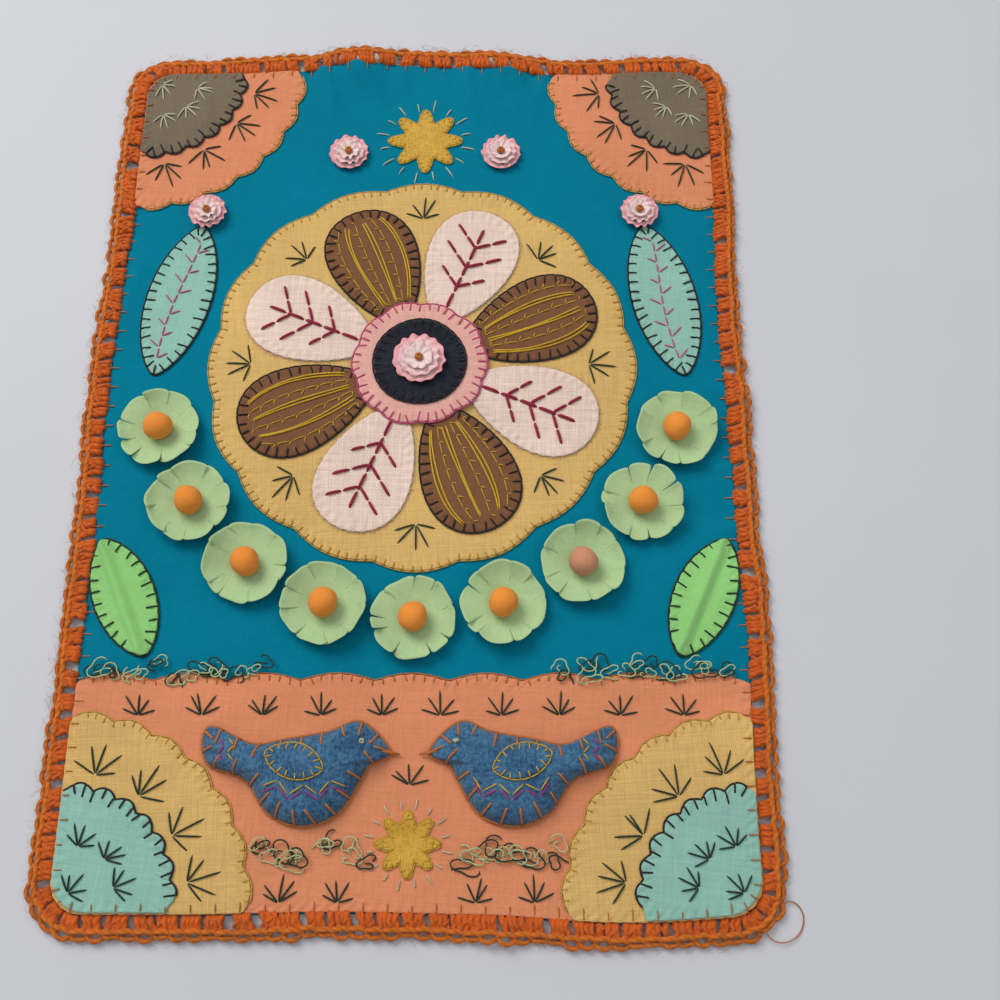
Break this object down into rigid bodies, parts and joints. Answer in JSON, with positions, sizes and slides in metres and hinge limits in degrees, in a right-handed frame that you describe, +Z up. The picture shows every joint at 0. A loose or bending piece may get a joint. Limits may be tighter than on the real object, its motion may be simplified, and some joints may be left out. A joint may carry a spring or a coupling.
{
  "type": "arpillera textile",
  "caption": "Flat hand-sewn applique hanging of cotton patches, felt and stuffed cloth trims on a teal ground, edged with crochet, lying face up.",
  "frame": {"origin": "middle of the underside, on the surface that the textile lies on", "axes": "+X to the right across the face, +Y towards the top edge, +Z up out of the face"},
  "size_m": [0.302, 0.429, 0.0153],
  "materials": {
    "teal_cotton": "plain-woven cotton, matt",
    "orange_yarn": "crocheted acrylic yarn, fuzzy",
    "salmon_cotton": "plain-woven cotton, matt",
    "taupe_cotton": "plain-woven cotton, matt",
    "mint_cotton": "plain-woven cotton, matt",
    "straw_cotton": "plain-woven cotton, matt",
    "brown_cotton": "plain-woven cotton, matt",
    "cream_cotton": "coarse plain-woven cotton, matt",
    "pink_cotton": "fine-striped cotton, matt",
    "navy_felt": "felt, matt",
    "pale_green_cotton": "stiff cotton, matt",
    "orange_cotton": "stretched cotton over filling, matt",
    "bright_green_cotton": "cotton, matt",
    "gold_felt": "felt, matt",
    "blue_felt": "felt, matt, pilled",
    "pink_ribbon": "gathered cotton ribbon, matt"
  },
  "bodies": {
    "root": {"ball_1": "orange_cotton", "ball_2": "orange_cotton", "ball_3": "orange_cotton", "ball_4": "orange_cotton", "ball_5": "orange_cotton", "ball_6": "orange_cotton", "ball_7": "orange_cotton", "ball_8": "orange_cotton", "ball_9": "orange_cotton", "bird_left": "blue_felt", "bird_right": "blue_felt", "blossom_1": "pale_green_cotton", "blossom_2": "pale_green_cotton", "blossom_3": "pale_green_cotton", "blossom_4": "pale_green_cotton", "blossom_5": "pale_green_cotton", "blossom_6": "pale_green_cotton", "blossom_7": "pale_green_cotton", "blossom_8": "pale_green_cotton", "blossom_9": "pale_green_cotton", "crochet_edging": "orange_yarn", "fan_inner_bottom_left": "mint_cotton", "fan_inner_bottom_right": "mint_cotton", "fan_inner_top_left": "taupe_cotton", "fan_inner_top_right": "taupe_cotton", "fan_outer_bottom_left": "straw_cotton", "fan_outer_bottom_right": "straw_cotton", "fan_outer_top_left": "salmon_cotton", "fan_outer_top_right": "salmon_cotton", "folded_leaf_left": "bright_green_cotton", "folded_leaf_right": "bright_green_cotton", "ground_cloth": "teal_cotton", "lower_field": "salmon_cotton", "medallion_disc": "straw_cotton", "navy_disc": "navy_felt", "petal_1": "brown_cotton", "petal_2": "cream_cotton", "petal_3": "brown_cotton", "petal_4": "cream_cotton", "petal_5": "brown_cotton", "petal_6": "cream_cotton", "petal_7": "brown_cotton", "petal_8": "cream_cotton", "pink_disc": "pink_cotton", "rosette_centre": "pink_ribbon", "rosette_leaf_left": "pink_ribbon", "rosette_leaf_right": "pink_ribbon", "rosette_star_left": "pink_ribbon", "rosette_star_right": "pink_ribbon", "side_leaf_left": "mint_cotton", "side_leaf_right": "mint_cotton", "star_bottom": "gold_felt", "star_top": "gold_felt", "wing_left": "blue_felt", "wing_right": "blue_felt"}
  },
  "joints": []
}
